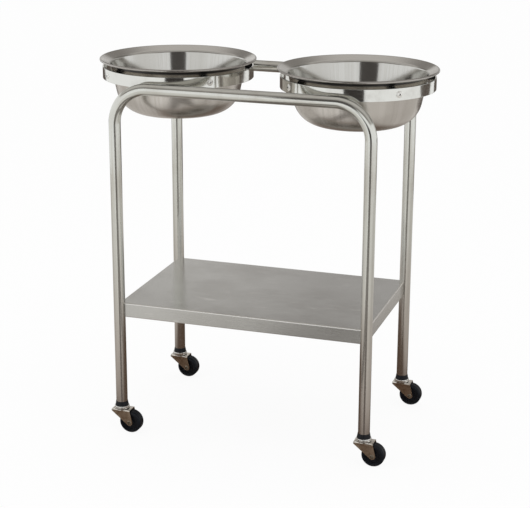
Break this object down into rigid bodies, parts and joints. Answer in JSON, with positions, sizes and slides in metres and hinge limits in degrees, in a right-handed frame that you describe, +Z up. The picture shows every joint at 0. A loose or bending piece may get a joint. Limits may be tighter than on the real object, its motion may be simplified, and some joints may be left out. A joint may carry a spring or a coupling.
{
  "type": "double basin stand",
  "caption": "Wheeled wash stand: side-by-side lift-out bowls held in rings on a bent steel tube frame, with a low shelf and swivel casters.",
  "frame": {"origin": "on the floor under the middle of the stand", "axes": "+Z up, +X to the stand's right as seen from its front, front towards -Y"},
  "size_m": [0.7492, 0.3902, 0.8215],
  "materials": {
    "stainless_tube": "polished stainless tube with a fine grain",
    "stainless_sheet": "brushed stainless sheet",
    "stainless_bar": "brushed stainless flat bar",
    "stainless_bowl": "spun stainless, satin inside and brighter outside",
    "bright_rivet": "bright plated steel",
    "bright_plating": "bright plating",
    "plated_steel": "plated pressed steel",
    "black_rubber": "matt black rubber",
    "black_plastic": "satin black moulded plastic"
  },
  "bodies": {
    "stand": {"front_frame": "stainless_tube", "rear_frame": "stainless_tube", "shelf": "stainless_sheet", "left_ring": "stainless_bar", "left_bumper_1": "black_rubber", "left_rivet_1": "bright_rivet", "left_bumper_2": "black_rubber", "left_rivet_2": "bright_rivet", "left_bumper_3": "black_rubber", "left_rivet_3": "bright_rivet", "left_bumper_4": "black_rubber", "left_rivet_4": "bright_rivet", "right_ring": "stainless_bar", "right_bumper_1": "black_rubber", "right_rivet_1": "bright_rivet", "right_bumper_2": "black_rubber", "right_rivet_2": "bright_rivet", "right_bumper_3": "black_rubber", "right_rivet_3": "bright_rivet", "right_bumper_4": "black_rubber", "right_rivet_4": "bright_rivet", "fl_adapter": "black_plastic", "fl_stem": "plated_steel", "fl_race_cup": "bright_plating", "fr_adapter": "black_plastic", "fr_stem": "plated_steel", "fr_race_cup": "bright_plating", "rl_adapter": "black_plastic", "rl_stem": "plated_steel", "rl_race_cup": "bright_plating", "rr_adapter": "black_plastic", "rr_stem": "plated_steel", "rr_race_cup": "bright_plating"},
    "left_basin": {"left_basin": "stainless_bowl"},
    "right_basin": {"right_basin": "stainless_bowl"},
    "fl_swivel": {"fl_fork": "plated_steel", "fl_axle": "bright_rivet", "fl_ball_cage": "plated_steel"},
    "fl_wheel": {"fl_wheel_hub": "black_plastic", "fl_tread": "black_rubber"},
    "fr_swivel": {"fr_fork": "plated_steel", "fr_axle": "bright_rivet", "fr_ball_cage": "plated_steel"},
    "fr_wheel": {"fr_wheel_hub": "black_plastic", "fr_tread": "black_rubber"},
    "rl_swivel": {"rl_fork": "plated_steel", "rl_axle": "bright_rivet", "rl_ball_cage": "plated_steel"},
    "rl_wheel": {"rl_wheel_hub": "black_plastic", "rl_tread": "black_rubber"},
    "rr_swivel": {"rr_fork": "plated_steel", "rr_axle": "bright_rivet", "rr_ball_cage": "plated_steel"},
    "rr_wheel": {"rr_wheel_hub": "black_plastic", "rr_tread": "black_rubber"}
  },
  "joints": [
    {"name": "fl_caster_swivel", "type": "hinge", "parent": "stand", "child": "fl_swivel", "pos_m": [-0.2794, -0.1781, 0.05], "axis": [0, 0, 1], "continuous": true},
    {"name": "fl_wheel_roll", "type": "hinge", "parent": "fl_swivel", "child": "fl_wheel", "pos_m": [-0.2569, -0.1781, 0.0254], "axis": [0, 1, 0], "continuous": true},
    {"name": "fr_caster_swivel", "type": "hinge", "parent": "stand", "child": "fr_swivel", "pos_m": [0.2794, -0.1781, 0.05], "axis": [0, 0, 1], "continuous": true},
    {"name": "fr_wheel_roll", "type": "hinge", "parent": "fr_swivel", "child": "fr_wheel", "pos_m": [0.3019, -0.1781, 0.0254], "axis": [0, 1, 0], "continuous": true},
    {"name": "rl_caster_swivel", "type": "hinge", "parent": "stand", "child": "rl_swivel", "pos_m": [-0.2794, 0.1781, 0.05], "axis": [0, 0, 1], "continuous": true},
    {"name": "rl_wheel_roll", "type": "hinge", "parent": "rl_swivel", "child": "rl_wheel", "pos_m": [-0.2569, 0.1781, 0.0254], "axis": [0, 1, 0], "continuous": true},
    {"name": "rr_caster_swivel", "type": "hinge", "parent": "stand", "child": "rr_swivel", "pos_m": [0.2794, 0.1781, 0.05], "axis": [0, 0, 1], "continuous": true},
    {"name": "rr_wheel_roll", "type": "hinge", "parent": "rr_swivel", "child": "rr_wheel", "pos_m": [0.3019, 0.1781, 0.0254], "axis": [0, 1, 0], "continuous": true},
    {"name": "left_basin_lift", "type": "slide", "parent": "stand", "child": "left_basin", "axis": [0, 0, 1], "range_m": [0, 0.15]},
    {"name": "right_basin_lift", "type": "slide", "parent": "stand", "child": "right_basin", "axis": [0, 0, 1], "range_m": [0, 0.15]}
  ]
}
